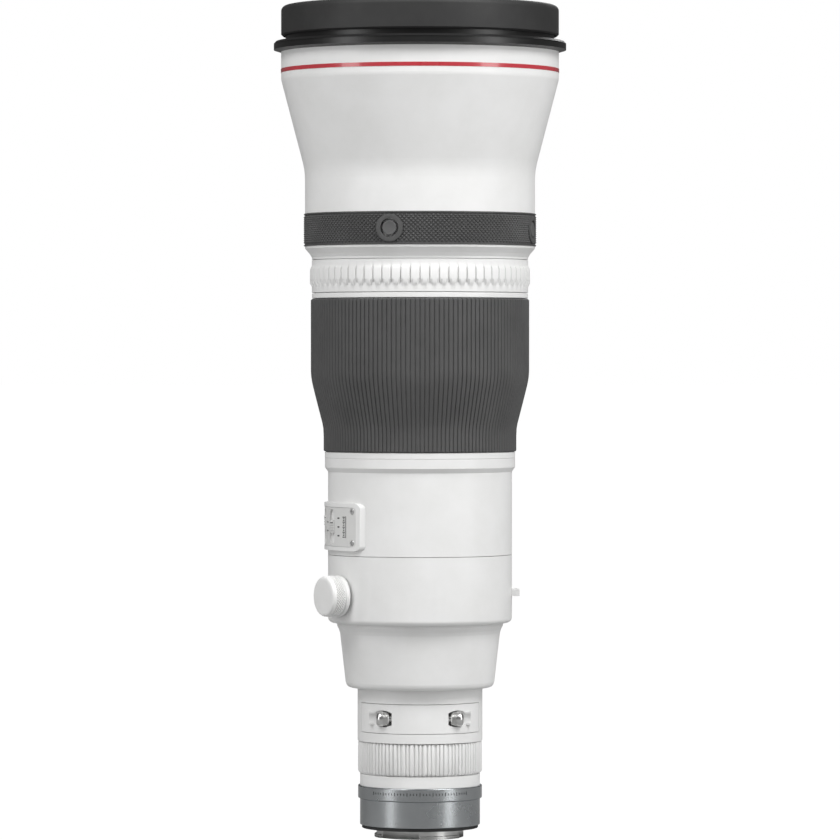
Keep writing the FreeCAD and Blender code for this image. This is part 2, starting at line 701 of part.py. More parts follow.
def mount():
    """The bayonet with its three lugs, its screws and the electrical contacts."""
    plate = turned("bayonet_plate", [
        ("throat_r", "gasket_top"), ("flange_r", "gasket_top"), ("flange_r", "0"),
        ("spigot_r", "0"), ("spigot_r", "spigot_low"), ("throat_r", "spigot_low")])
    lugs = [sector(f"bayonet_lug_{index + 1}", "spigot_r - 0.5", "bayonet_lug_r", "spigot_low",
                   "bayonet_lug_top", 30 + 120 * index, 60) for index in range(3)]
    screws, holes = [], []
    for index in range(4):
        angle = 45 + 90 * index
        x = f"mount_screw_ring * cos({angle} * 1 deg)"
        y = f"mount_screw_ring * sin({angle} * 1 deg)"
        screws.append(rod(f"mount_screw_{index + 1}", "screw_r", "0.1", "gasket_top", x, y))
        holes.append(rod(f"mount_screw_hole_{index + 1}", "screw_r", "-1", "gasket_top + 1", x, y))
    node(cut("bayonet", fuse("bayonet_body", [plate] + lugs), fuse("bayonet_holes", holes)),
         "bayonet")
    node(group("mount_screws", screws), "mount_screws")
    node(sector("contact_block", "throat_r - contact_deep", "throat_r", "spigot_low + 0.9",
                "gasket_top", "contact_start", "contact_sweep"), "contact_block")
    pins = []
    ring_r = "(throat_r - contact_deep / 2)"
    for index in range(CONTACTS):
        angle = (f"(contact_start + contact_margin + (contact_sweep - 2 * contact_margin)"
                 f" * {index} / {CONTACTS - 1})")
        x = f"{ring_r} * cos({angle} * 1 deg)"
        y = f"{ring_r} * sin({angle} * 1 deg)"
        pins.append(rod(f"contact_pin_{index + 1}", "contact_r", "spigot_low + 0.5",
                        "spigot_low + 0.9", x, y))
    node(group("contact_pins", pins), "contact_pins")


def front_optics():
    """The first element with its retaining ring, and the baffle that carries the second."""
    node(lens("front_element", "front_glass_r", "front_glass_low", "front_glass_top",
              "front_glass_curve", 0), "front_element")
    node(ring("front_retaining_ring", "ledge_r + 0.3", "front_r - wall", "hood_low - 2.4",
              "hood_low"), "front_retaining_ring")
    node(turned("light_baffle", [
        ("ledge_r - 1.2", "flare_top - 4"), ("carrier_glass_r + 3", "band_top + 4"),
        ("carrier_r", "band_top"), ("carrier_r", "band_low"),
        ("carrier_glass_r - 1.5", "band_low"), ("carrier_glass_r - 1.5", "band_low + 2"),
        ("carrier_glass_r + 0.1", "band_low + 2"), ("carrier_glass_r + 0.1", "band_top + 3"),
        ("ledge_r - 2.7", "flare_top - 4")]), "light_baffle")
    node(lens("second_element", "carrier_glass_r", "band_low + 2.2", "band_low + 15",
              220, -900), "second_element")


def focus_group():
    """The focusing element in its cell, the cam ring that moves it and the ring motor."""
    node(turned("focus_cell", [
        ("focus_glass_r + 0.1", "focus_cell_low"), ("focus_cell_r", "focus_cell_low"),
        ("focus_cell_r", "focus_cell_low + 4"), ("focus_glass_r + 5", "focus_cell_low + 5"),
        ("focus_glass_r + 5", "focus_cell_top - 4"), ("focus_cell_r", "focus_cell_top - 3"),
        ("focus_cell_r", "focus_cell_top"), ("focus_glass_r + 0.1", "focus_cell_top")]),
        "focus_cell")
    node(lens("focus_lens", "focus_glass_r", "focus_cell_low + 1", "focus_cell_top - 2",
              -180, -140), "focus_lens")
    node(ring("cam_ring", "cam_bore_r", "cam_r", "cam_low", "cam_top"), "cam_ring")
    node(turned("motor_stator", [
        ("cam_r + gap", "tube_cone_top + 4"), ("cam_r + gap + 2", "tube_cone_top + 4"),
        ("cam_r + gap + 2", "motor_low"), ("tube_bore_r", "motor_low"),
        ("tube_bore_r", "motor_top"), ("cam_bore_r", "motor_top"), ("cam_bore_r", "motor_low"),
        ("cam_r + gap", "motor_low")]), "motor_stator")


def stabilizer():
    """Two nested carriages that shift one element across the axis."""
    node(ring("stabilizer_base", "steady_glass_r + 6", "tube_small_bore_r", "steady_low",
              "steady_low + 3"), "stabilizer_base")
    plate = block("steady_plate", "-(steady_glass_r + 16)", "steady_glass_r + 16",
                  "-(steady_glass_r + 8)", "steady_glass_r + 8", "steady_low + 3 + gap",
                  "steady_low + 6")
    hole = rod("steady_plate_hole", "steady_glass_r + 4.5", "steady_low", "steady_low + 8")
    node(cut("stabilizer_frame", plate, hole), "stabilizer_frame")
    node(ring("stabilizer_cell", "steady_glass_r + 0.1", "steady_glass_r + 8",
              "steady_low + 6 + gap", "steady_low + 13"), "stabilizer_cell")
    node(lens("stabilizer_lens", "steady_glass_r", "steady_low + 7", "steady_low + 12.5",
              120, 0), "stabilizer_lens")


def aperture():
    """The diaphragm's housing and its blades, wide open."""
    node(turned("aperture_unit", [
        ("aperture_open_r + 1", "aperture_low"), ("barrel_bore_r", "aperture_low"),
        ("barrel_bore_r", "aperture_low + 9"), ("barrel_bore_r - 8", "aperture_low + 9"),
        ("barrel_bore_r - 8", "aperture_low + 3"), ("aperture_open_r + 1", "aperture_low + 3")]),
        "aperture_unit")
    blades = []
    for index in range(BLADES):
        blades.append(sector(f"blade_{index + 1}", "aperture_open_r + 1.5",
                             "aperture_open_r + 11", f"aperture_low + {3.2 + 0.4 * index}",
                             f"aperture_low + {3.5 + 0.4 * index}", 360 / BLADES * index, 75))
    node(group("aperture_blades", blades), "aperture_blades")


def rear_optics():
    """The circuit board, and the rear element in its cell."""
    node(ring("main_board", "30", "seat_bore_r", "board_low", "board_low + 1.6"), "main_board")
    node(turned("rear_cell", [
        ("rear_glass_r + 0.1", "6"), ("mount_bore_r", "6"), ("mount_bore_r", "24"),
        ("rear_glass_r + 4", "24"), ("rear_glass_r + 4", "16"), ("rear_glass_r + 0.1", "16")]),
        "rear_cell")
    node(lens("rear_lens", "rear_glass_r", "7", "15.5", 60, -300), "rear_lens")


def check(piece):
    """Stop if an object failed or its shape can't be written."""
    shape = piece.Shape
    if shape.isNull() or not shape.isValid() or not shape.Solids:
        raise ValueError(f"{piece.Label}: no valid solid")


front_end()
function_buttons()
middle_rings()
main_body()
switch_panel()
tripod_collar()
rear_shells()
filter_drawer()
rear_rings()
mount()
front_optics()
focus_group()
stabilizer()
aperture()
rear_optics()
doc.recompute()

for item in doc.Objects:
    if {"Invalid", "Error"} & set(item.State):
        raise ValueError(f"{item.Label}: {item.State}")
os.makedirs("parts", exist_ok=True)
for piece in nodes:
    check(piece)
    piece.Shape.exportStep(f"parts/{piece.Label}.step")
    box = piece.Shape.BoundBox
    print(f"{piece.Label}: {len(piece.Shape.Solids)} solid(s), {piece.Shape.Volume:.0f} mm3, "
          f"z {box.ZMin:.1f} to {box.ZMax:.1f}")
print(len(nodes), "nodes")
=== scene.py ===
# %% [markdown]
# # A white telephoto lens, standing on its mount
#
# The real object is a camera lens about 47 cm tall. Its body is a stack of turned shells of light
# alloy, painted white. Between them sit rings that turn, a rubber band with push buttons, a ribbed
# focus grip, a collar with a foot, and a metal mount. A CAD program has already made every part at
# its real size and place. This file loads those parts, gives each one a finish, and models again,
# in finer detail, the parts that the hand or the eye meets: grips, knurls, buttons and switches.
#
# The whole file works in metres. Z is up and is also the lens's optical axis, so almost every part
# is a ring about Z.

# %% Load the frame
from math import atan2, cos, pi, radians, sin, tau

import bmesh
import bpy
import json
from mathutils import Matrix, Vector


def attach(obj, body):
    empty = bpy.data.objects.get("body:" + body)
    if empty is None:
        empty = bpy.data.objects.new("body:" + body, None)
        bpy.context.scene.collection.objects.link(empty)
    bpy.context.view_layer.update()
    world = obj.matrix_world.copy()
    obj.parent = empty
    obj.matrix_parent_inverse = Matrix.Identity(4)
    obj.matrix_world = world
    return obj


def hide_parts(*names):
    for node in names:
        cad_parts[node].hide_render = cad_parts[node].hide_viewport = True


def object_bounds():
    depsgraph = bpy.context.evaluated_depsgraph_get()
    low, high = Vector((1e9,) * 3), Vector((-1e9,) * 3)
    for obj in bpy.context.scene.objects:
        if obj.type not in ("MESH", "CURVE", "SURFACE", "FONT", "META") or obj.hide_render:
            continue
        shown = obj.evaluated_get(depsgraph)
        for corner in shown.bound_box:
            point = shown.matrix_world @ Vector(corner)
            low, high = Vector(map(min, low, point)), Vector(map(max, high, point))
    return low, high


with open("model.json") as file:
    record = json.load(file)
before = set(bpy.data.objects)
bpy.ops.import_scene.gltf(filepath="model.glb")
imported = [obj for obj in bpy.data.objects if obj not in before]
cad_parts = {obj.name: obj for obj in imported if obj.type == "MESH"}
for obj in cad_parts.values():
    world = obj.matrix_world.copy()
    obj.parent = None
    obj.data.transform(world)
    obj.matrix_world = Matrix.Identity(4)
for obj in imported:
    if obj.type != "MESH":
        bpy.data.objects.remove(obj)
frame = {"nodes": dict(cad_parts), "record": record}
cad_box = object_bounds()
nodes = frame["nodes"]
MM = 0.001
print("frame holds", len(nodes), "parts, box", [tuple(round(v, 4) for v in p) for p in cad_box])

# %% [markdown]
# ## Camera
#
# The lens is seen from straight in front and from about three metres away, with the eye level with
# its lower half. So rings high up curve like the rim of a hat and rings low down curve like a
# bowl. A long focal length at the true distance gives exactly that. Moving closer with a shorter
# lens would bend the rings more, so distance is settled first and focal length only frames it.

# %% Camera
EYE = Vector((0, -3.05, 0.271))
AIM = Vector((0, 0, 0.2343))
FOCAL_LENGTH = 227.3

camera_data = bpy.data.cameras.new("studio_camera")
camera_data.sensor_width = 36
camera_data.lens = FOCAL_LENGTH
camera_data.clip_end = 50
camera = bpy.data.objects.new("studio_camera", camera_data)
camera.location = EYE
camera.rotation_euler = (AIM - EYE).to_track_quat("-Z", "Y").to_euler()
bpy.context.scene.collection.objects.link(camera)
bpy.context.scene.camera = camera
bpy.context.scene.view_settings.view_transform = "Standard"
print("camera", round((AIM - EYE).length, 3), "m away,", FOCAL_LENGTH, "mm")

# %% [markdown]
# ## Light and floor
#
# Glossy cylinders are lit by what they mirror. Two tall soft boxes, one at each side of the camera,
# draw the two upright highlights that show that a part is round. Upright walls can't mirror what is
# far above them, so two strong lights high up light the paint without adding more highlights, and
# they throw the short shadows under each step. A fifth light stands behind, for the foot, and a
# pale sky fills the rest. A ray that goes straight from the camera to the sky or the floor sees
# almost plain white, and every other ray sees a dimmer grey, darkest of all in a reflection.
# Otherwise the metal would mirror white all over and look like chalk, and light from the floor
# would fill the shadow under every ledge.

# %% Light and floor
LIGHTS = (      # name, angle from the camera's side, height angle, distance, width, height, watts
    ("box_left", -58, 0, 1.6, 0.46, 1.6, 9.0),
    ("box_right", 58, 0, 1.6, 0.46, 1.6, 11.0),
    ("high_left", -42, 48, 2.2, 0.9, 0.9, 23),
    ("high_right", 46, 48, 2.2, 0.9, 0.9, 34),
    ("behind", 172, 35, 2.2, 1.2, 1.2, 16),
)
LIT_POINT = Vector((0, 0, 0.28))
FLOOR_SIZE = 160


def area_light(name, angle, rise, distance, width, height, watts):
    """A soft box that faces the lens from this direction."""
    data = bpy.data.lights.new(name, "AREA")
    data.shape = "RECTANGLE"
    data.size, data.size_y, data.energy = width, height, watts
    light = bpy.data.objects.new(name, data)
    away = Vector((sin(radians(angle)) * cos(radians(rise)),
                   -cos(radians(angle)) * cos(radians(rise)), sin(radians(rise))))
    light.location = LIT_POINT + away * distance
    light.rotation_euler = (-away).to_track_quat("-Z", "Y").to_euler()
    bpy.context.scene.collection.objects.link(light)


for settings in LIGHTS:
    area_light(*settings)

world = bpy.data.worlds.new("studio")
world.use_nodes = True
bpy.context.scene.world = world
sky = world.node_tree.nodes
links = world.node_tree.links
sky.clear()
path, out = sky.new("ShaderNodeLightPath"), sky.new("ShaderNodeOutputWorld")
skies = {}
for name, strength in (("felt", 0.26), ("mirrored", 0.10), ("seen", 1.0)):
    skies[name] = sky.new("ShaderNodeBackground")
    skies[name].inputs["Color"].default_value = (1, 1, 1, 1)
    skies[name].inputs["Strength"].default_value = strength
glossy, direct = sky.new("ShaderNodeMixShader"), sky.new("ShaderNodeMixShader")
links.new(path.outputs["Is Glossy Ray"], glossy.inputs[0])
links.new(skies["felt"].outputs[0], glossy.inputs[1])
links.new(skies["mirrored"].outputs[0], glossy.inputs[2])
links.new(path.outputs["Is Camera Ray"], direct.inputs[0])
links.new(glossy.outputs[0], direct.inputs[1])
links.new(skies["seen"].outputs[0], direct.inputs[2])
links.new(direct.outputs[0], out.inputs[0])

standing_height = cad_box[0][2]
bpy.ops.object.select_all(action="DESELECT")
bpy.ops.mesh.primitive_plane_add(size=FLOOR_SIZE, location=(0, 0, standing_height))
floor = bpy.context.object
floor.name = "studio_floor"
print("floor at", round(standing_height, 4))

# %% [markdown]
# ## Shared effects
#
# Three effects come back in many finishes, so each is built once as a node group and placed with
# its own values: a coat that is mottled a little and has a fine grain, the lines that a lathe or a
# brush leaves round a turned metal part, and dust. All of them read Object coordinates. The parts
# sit at the origin unturned, so the pattern is in real metres and stays put when a part moves.

# %% Node group helper
def new_group(name, inputs, outputs):
    """An empty shader group with named sockets, and its input and output nodes."""
    group = bpy.data.node_groups.new(name, "ShaderNodeTree")
    for direction, sockets in (("INPUT", inputs), ("OUTPUT", outputs)):
        for socket, kind, default in sockets:
            made = group.interface.new_socket(socket, in_out=direction, socket_type=kind)
            if default is not None:
                made.default_value = default
    return group, group.nodes.new("NodeGroupInput"), group.nodes.new("NodeGroupOutput")


def add(group, kind, values=(), **settings):
    """A node with its settings and the values of its unlinked inputs."""
    made = group.nodes.new(kind)
    for name, value in settings.items():
        setattr(made, name, value)
    for socket, value in dict(values).items():
        made.inputs[socket].default_value = value
    return made


COLOUR, NUMBER = "NodeSocketColor", "NodeSocketFloat"

# %% Coat: mottled colour, uneven gloss and fine grain
coat, given, result = new_group(
    "coat",
    (("Color", COLOUR, (0.8, 0.8, 0.8, 1)), ("Shade", COLOUR, (0.7, 0.7, 0.7, 1)),
     ("Mottle Scale", NUMBER, 40.0), ("Roughness", NUMBER, 0.4),
     ("Roughness Change", NUMBER, 0.1), ("Grain Scale", NUMBER, 1500.0)),
    (("Color", COLOUR, None), ("Roughness", NUMBER, None), ("Height", NUMBER, None)))
where = add(coat, "ShaderNodeTexCoord")
mottle = add(coat, "ShaderNodeTexNoise", {"Detail": 4.0, "Roughness": 0.6})
blend_in = add(coat, "ShaderNodeMapRange", {"From Min": 0.35, "From Max": 0.75})
mixed = add(coat, "ShaderNodeMix", data_type="RGBA")
gloss = add(coat, "ShaderNodeMath", operation="MULTIPLY_ADD")
grain = add(coat, "ShaderNodeTexNoise", {"Detail": 2.0})
for source, target in (
        (where.outputs["Object"], mottle.inputs["Vector"]),
        (given.outputs["Mottle Scale"], mottle.inputs["Scale"]),
        (mottle.outputs["Fac"], blend_in.inputs["Value"]),
        (blend_in.outputs["Result"], mixed.inputs["Factor"]),
        (given.outputs["Color"], mixed.inputs["A"]),
        (given.outputs["Shade"], mixed.inputs["B"]),
        (blend_in.outputs["Result"], gloss.inputs[0]),
        (given.outputs["Roughness Change"], gloss.inputs[1]),
        (given.outputs["Roughness"], gloss.inputs[2]),
        (where.outputs["Object"], grain.inputs["Vector"]),
        (given.outputs["Grain Scale"], grain.inputs["Scale"]),
        (mixed.outputs["Result"], result.inputs["Color"]),
        (gloss.outputs[0], result.inputs["Roughness"]),
        (grain.outputs["Fac"], result.inputs["Height"])):
    coat.links.new(source, target)
print("group", coat.name)

# %% Lathe lines: fine rings round the optical axis
lathe_lines, given, result = new_group(
    "lathe_lines", (("Lines per Metre", NUMBER, 4000.0), ("Strength", NUMBER, 0.3)),
    (("Tone", NUMBER, None),))
where = add(lathe_lines, "ShaderNodeTexCoord")
apart = add(lathe_lines, "ShaderNodeSeparateXYZ")
height = add(lathe_lines, "ShaderNodeMath", operation="MULTIPLY")
stretched = add(lathe_lines, "ShaderNodeCombineXYZ")
AROUND_SCALE, MIDDLE_TONE = 25.0, 0.5
around = [add(lathe_lines, "ShaderNodeMath", {1: AROUND_SCALE}, operation="MULTIPLY")
          for _ in range(2)]
lines = add(lathe_lines, "ShaderNodeTexNoise", {"Scale": 1.0, "Detail": 3.0, "Roughness": 0.7})
centred = add(lathe_lines, "ShaderNodeMath", {1: MIDDLE_TONE}, operation="SUBTRACT")
scaled = add(lathe_lines, "ShaderNodeMath", {2: MIDDLE_TONE}, operation="MULTIPLY_ADD")
for source, target in (
        (where.outputs["Object"], apart.inputs[0]),
        (apart.outputs["X"], around[0].inputs[0]), (apart.outputs["Y"], around[1].inputs[0]),
        (apart.outputs["Z"], height.inputs[0]),
        (given.outputs["Lines per Metre"], height.inputs[1]),
        (around[0].outputs[0], stretched.inputs["X"]),
        (around[1].outputs[0], stretched.inputs["Y"]),
        (height.outputs[0], stretched.inputs["Z"]),
        (stretched.outputs[0], lines.inputs["Vector"]),
        (lines.outputs["Fac"], centred.inputs[0]), (centred.outputs[0], scaled.inputs[0]),
        (given.outputs["Strength"], scaled.inputs[1]), (scaled.outputs[0], result.inputs["Tone"])):
    lathe_lines.links.new(source, target)
print("group", lathe_lines.name)

# %% Dust: a few pale specks and a thin veil
dust, given, result = new_group(
    "dust", (("Color", COLOUR, (0.05, 0.05, 0.05, 1)), ("Dust Color", COLOUR, (0.3, 0.29, 0.27, 1)),
             ("Amount", NUMBER, 0.2)),
    (("Color", COLOUR, None),))
where = add(dust, "ShaderNodeTexCoord")
specks = add(dust, "ShaderNodeTexVoronoi", {"Scale": 420.0})
small = add(dust, "ShaderNodeMapRange", {"From Min": 0.16, "From Max": 0.04})
veil = add(dust, "ShaderNodeTexNoise", {"Scale": 55.0, "Detail": 5.0})
patches = add(dust, "ShaderNodeMapRange", {"From Min": 0.45, "From Max": 0.8})
THIN_VEIL = 0.25
both = add(dust, "ShaderNodeMath", {1: THIN_VEIL}, operation="MULTIPLY_ADD")
veiled = add(dust, "ShaderNodeMath", operation="MULTIPLY", use_clamp=True)
patchy = add(dust, "ShaderNodeMath", operation="MULTIPLY")
mixed = add(dust, "ShaderNodeMix", data_type="RGBA")
for source, target in (
        (where.outputs["Object"], specks.inputs["Vector"]),
        (where.outputs["Object"], veil.inputs["Vector"]),
        (specks.outputs["Distance"], small.inputs["Value"]),
        (veil.outputs["Fac"], patches.inputs["Value"]),
        (small.outputs["Result"], patchy.inputs[0]), (patches.outputs["Result"], patchy.inputs[1]),
        (patches.outputs["Result"], both.inputs[0]), (patchy.outputs[0], both.inputs[2]),
        (both.outputs[0], veiled.inputs[0]), (given.outputs["Amount"], veiled.inputs[1]),
        (veiled.outputs[0], mixed.inputs["Factor"]),
        (given.outputs["Color"], mixed.inputs["A"]),
        (given.outputs["Dust Color"], mixed.inputs["B"]),
        (mixed.outputs["Result"], result.inputs["Color"])):
    dust.links.new(source, target)
print("group", dust.name)

# %% [markdown]
# ## Finishes
#
# Each finish is one Principled shader. The coat group gives its colour, its gloss and the height
# of its grain, because those change over the surface. What is the same all over, such as how
# metallic it is, is set on the shader itself. White enamel on these lenses is sprayed slightly
# rough, so that it doesn't glare in the sun: it has a grain of about half a millimetre. The
# rubber's grain is finer, and the silver rings show the lines of the lathe instead.

# %% Finish helper
LINE_TONE = 0.35        # how far the lathe lines darken and lighten the colour


def rgba(value):
    """A colour from one grey value or from three numbers."""
    return (value, value, value, 1) if isinstance(value, (int, float)) else (*value, 1)


def finish(name, colour, shade, roughness, change=0.08, grain=1500.0, bump=0.1, depth=0.00005,
           mottle=40.0, dusty=0.0, lathe=None, **shader_values):
    """A material: the coat group, and dust or lathe lines where they are asked for."""
    material = bpy.data.materials.new(name)
    material.use_nodes = True
    tree = material.node_tree
    shader = tree.nodes["Principled BSDF"]
    for socket, value in shader_values.items():
        shader.inputs[socket.replace("_", " ")].default_value = value
    base = add(tree, "ShaderNodeGroup",
               {"Color": rgba(colour), "Shade": rgba(shade), "Mottle Scale": mottle,
                "Roughness": roughness, "Roughness Change": change, "Grain Scale": grain},
               node_tree=coat)
    tree.links.new(base.outputs["Roughness"], shader.inputs["Roughness"])
    raised = add(tree, "ShaderNodeBump", {"Strength": bump, "Distance": depth})
    tree.links.new(base.outputs["Height"], raised.inputs["Height"])
    tree.links.new(raised.outputs["Normal"], shader.inputs["Normal"])
    top = base.outputs["Color"]
    if dusty:
        dusted = add(tree, "ShaderNodeGroup", {"Amount": dusty}, node_tree=dust)
        tree.links.new(top, dusted.inputs["Color"])
        top = dusted.outputs["Color"]
    if lathe:
        turned_lines = add(tree, "ShaderNodeGroup", {"Lines per Metre": lathe},
                           node_tree=lathe_lines)
        tree.links.new(turned_lines.outputs["Tone"], raised.inputs["Height"])
        toned = add(tree, "ShaderNodeMix", data_type="RGBA", blend_type="SOFT_LIGHT")
        toned.inputs["Factor"].default_value = LINE_TONE
        tree.links.new(top, toned.inputs["A"])
        tree.links.new(turned_lines.outputs["Tone"], toned.inputs["B"])
        top = toned.outputs["Result"]
    tree.links.new(top, shader.inputs["Base Color"])
    return material


# %% Finishes
FINISHES = {
    "white_paint": finish("white_enamel", (0.80, 0.80, 0.795), (0.75, 0.75, 0.74), 0.43,
                          grain=1900.0, bump=0.22, depth=0.00006, Coat_Weight=0.05,
                          Coat_Roughness=0.25),
    "black_rubber": finish("rim_rubber", 0.022, 0.017, 0.60, grain=2600.0, bump=0.25, dusty=0.08),
    "grip_rubber": finish("grip_rubber", 0.075, 0.06, 0.60, grain=3000.0, bump=0.2, dusty=0.10),
    "black_paint": finish("black_enamel", 0.009, 0.012, 0.34, change=0.06, grain=900.0, bump=0.05),
    "red_paint": finish("red_enamel", (0.50, 0.045, 0.06), (0.45, 0.04, 0.05), 0.22, bump=0.05,
                        Coat_Weight=0.6, Coat_Roughness=0.06),
    "dark_metal": finish("black_anodised", 0.014, 0.02, 0.55, lathe=3500.0, bump=0.3,
                         Metallic=0.2),
    "button_plastic": finish("button_plastic", 0.10, 0.085, 0.50, grain=3200.0, bump=0.25,
                             dusty=0.05),
    "switch_plastic": finish("switch_plastic", (0.69, 0.69, 0.68), (0.64, 0.64, 0.63), 0.42,
                             grain=2400.0, bump=0.15),
    "silver": finish("satin_silver", (0.49, 0.51, 0.52), (0.43, 0.45, 0.46), 0.24, change=0.05,
                     lathe=5200.0, bump=0.12, depth=0.00003, Metallic=1.0),
    "chrome": finish("chrome", (0.74, 0.74, 0.73), (0.66, 0.66, 0.65), 0.27, change=0.06, bump=0.04,
                     lathe=6000.0, Metallic=1.0),
    "screw_steel": finish("screw_steel", 0.66, 0.56, 0.38, mottle=300.0, bump=0.1, Metallic=0.7),
    "gold": finish("contact_gold", (0.86, 0.62, 0.26), (0.72, 0.5, 0.2), 0.22, mottle=300.0,
                   bump=0.05, Metallic=1.0),
    "motor_metal": finish("motor_steel", 0.48, 0.40, 0.34, lathe=3000.0, bump=0.2, Metallic=1.0),
    "board": finish("circuit_board", (0.03, 0.17, 0.08), (0.02, 0.12, 0.06), 0.35, mottle=200.0,
                    bump=0.1),
    "glass": finish("coated_glass", (0.93, 0.97, 0.95), (0.90, 0.955, 0.93), 0.02, change=0.02,
                    grain=300.0, bump=0.01, Transmission_Weight=1.0, IOR=1.52,
                    Specular_Tint=(0.62, 0.55, 1.0, 1)),
}
floor_paint = finish("studio_paper", 0.32, 0.30, 0.8, grain=700.0, bump=0.05)
paper = floor_paint.node_tree
glow = add(paper, "ShaderNodeEmission", {"Strength": 1.07})
straight = add(paper, "ShaderNodeLightPath")
share = add(paper, "ShaderNodeMath", {1: 0.94}, operation="MULTIPLY")
pale = add(paper, "ShaderNodeMixShader")
paper.links.new(straight.outputs["Is Camera Ray"], share.inputs[0])
paper.links.new(share.outputs[0], pale.inputs[0])
paper.links.new(paper.nodes["Principled BSDF"].outputs[0], pale.inputs[1])
paper.links.new(glow.outputs[0], pale.inputs[2])
paper.links.new(pale.outputs[0], paper.nodes["Material Output"].inputs["Surface"])
floor.data.materials.append(floor_paint)
print(len(FINISHES), "finishes")

# %% Give every CAD part the finish of its material slot
for part in frame["record"]["subparts"]:
    mesh = nodes[part["node"]].data
    mesh.materials.clear()
    mesh.materials.append(FINISHES[part["material_slot"]])

# %% [markdown]
# ## How the new pieces are made
#
# Almost every new piece is turned, as on a lathe: a circle is added at the first point of an
# outline, and its edge is extruded from point to point until the outline closes. It could also be
# spun from a profile, but extruding a circle keeps the number of steps round it exact, and ribs
# and knurls are then only a matter of which of those steps are pulled in. The helpers below start
# a piece, pick a part of it by its place, and finish it on a body of the frame.

# %% Helpers to start, pick and finish
def start():
    """Object mode with nothing selected, so that an operator acts on the new piece only."""
    if bpy.context.object and bpy.context.object.mode == "EDIT":
        bpy.ops.object.mode_set(mode="OBJECT")
    bpy.ops.object.select_all(action="DESELECT")


def hold(piece):
    """Select this piece alone, in object mode, and make it the active one."""
    start()
    piece.select_set(True)
    bpy.context.view_layer.objects.active = piece


def named(name):
    """The object that was just added, with its name and its place in its mesh, in edit mode."""
    piece = bpy.context.object
    piece.name = piece.data.name = name
    bpy.ops.object.transform_apply(location=True, rotation=True, scale=True)
    bpy.ops.object.mode_set(mode="EDIT")
    bpy.ops.mesh.select_mode(type="VERT")
    bpy.ops.mesh.select_all(action="SELECT")
    return piece


def pick(piece, kind, wanted):
    """Select, in edit mode, the verts, edges or faces for which wanted(element) is true."""
    bpy.ops.mesh.select_mode(type={"verts": "VERT", "edges": "EDGE", "faces": "FACE"}[kind])
    bpy.ops.mesh.select_all(action="DESELECT")
    shape = bmesh.from_edit_mesh(piece.data)
    for element in getattr(shape, kind):
        if wanted(element):
            element.select_set(True)
    shape.select_flush_mode()
    bmesh.update_edit_mesh(piece.data)


def scale_out(factor):
    """Scale the selected part away from the optical axis, or towards it."""
    bpy.ops.transform.resize(value=(factor, factor, 1), center_override=(0, 0, 0))


def apply_modifier(piece, kind, **settings):
    """Add a modifier with these settings and apply it."""
    hold(piece)
    modifier = piece.modifiers.new(kind.lower(), kind)
    for name, value in settings.items():
        setattr(modifier, name, value)
    bpy.ops.object.modifier_apply(modifier=modifier.name)


def soften(piece, width, angle=30, segments=2):
    """Round the edges that are sharper than an angle."""
    apply_modifier(piece, "BEVEL", width=width, segments=segments, limit_method="ANGLE",
                   angle_limit=radians(angle), use_clamp_overlap=True)


def complete(piece, body, slot, *replaced, smooth=35):
    """Shade a piece, give it the finish of its slot, and hang it on a body of the frame."""
    hold(piece)
    bpy.ops.object.shade_smooth_by_angle(angle=radians(smooth))
    piece.data.materials.clear()
    piece.data.materials.append(FINISHES[slot])
    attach(piece, body)
    if replaced:
        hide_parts(*replaced)
    print(piece.name, "on", body, "has", len(piece.data.polygons), "faces")


# %% Helper to turn a piece from its outline
def turned(name, outline, steps, ring=True):
    """A closed ring about Z from (radius, height) in millimetres, or a solid with flat ends."""
    start()
    radius, height = outline[0]
    bpy.ops.mesh.primitive_circle_add(vertices=steps, radius=radius * MM,
                                      location=(0, 0, height * MM))
    piece = named(name)
    following = outline[1:] + outline[:1] if ring else outline[1:]
    for (r0, z0), (r1, z1) in zip(outline, following):
        bpy.ops.mesh.extrude_region_move(TRANSFORM_OT_translate={"value": (0, 0, (z1 - z0) * MM)})
        scale_out(r1 / r0)
    bpy.ops.mesh.select_all(action="SELECT")
    bpy.ops.mesh.remove_doubles(threshold=0.00001)
    if not ring:
        bpy.ops.mesh.fill_holes(sides=0)
    bpy.ops.mesh.normals_make_consistent(inside=False)
    return piece


def step_of(vertex, steps, each):
    """Which step of its rib a vertex is on, counted from 0 at the groove to each - 1."""
    turn = atan2(vertex.co.y, vertex.co.x) / tau
    return round(turn * steps) % each


def reach(vertex):
    """How far a vertex is from the optical axis, in millimetres."""
    return vertex.co.xy.length / MM


print("helpers ready")

# %% [markdown]
# ## Focus grip
#
# The wide rubber grip turns with the focus ring. Its ribs are moulded along its whole length and
# follow its waist, where it narrows towards the hand. A bump texture would give the dark lines but
# a smooth rim, and the ribs show as teeth at both ends of the grip, so they are real. There are six
# steps to a rib. One is pulled in to make the groove, and the one opposite is pushed out a little,
# so that the rib is crowned.

# %% Focus grip
GRIP_RIBS, STEPS_PER_RIB = 144, 6
GRIP_STEPS = GRIP_RIBS * STEPS_PER_RIB
GROOVE_DEPTH, GRIP_MIDDLE_R = 0.5, 60
OUTER_GRIP = [(54.9, 216.4), (55.35, 217.0), (55.35, 225.0), (55.55, 229.4), (56.05, 232.4),
              (56.85, 235.5), (58.45, 241.7), (60.01, 247.8), (61.53, 254.0), (62.08, 256.6),
              (62.44, 259.0), (62.63, 261.2), (62.7, 263.6), (62.7, 303.1), (61.9, 303.9)]
INNER_GRIP = [(61.12, 303.9), (61.12, 258.7), (55.94, 237.8), (54.22, 230.8), (54.22, 216.4)]

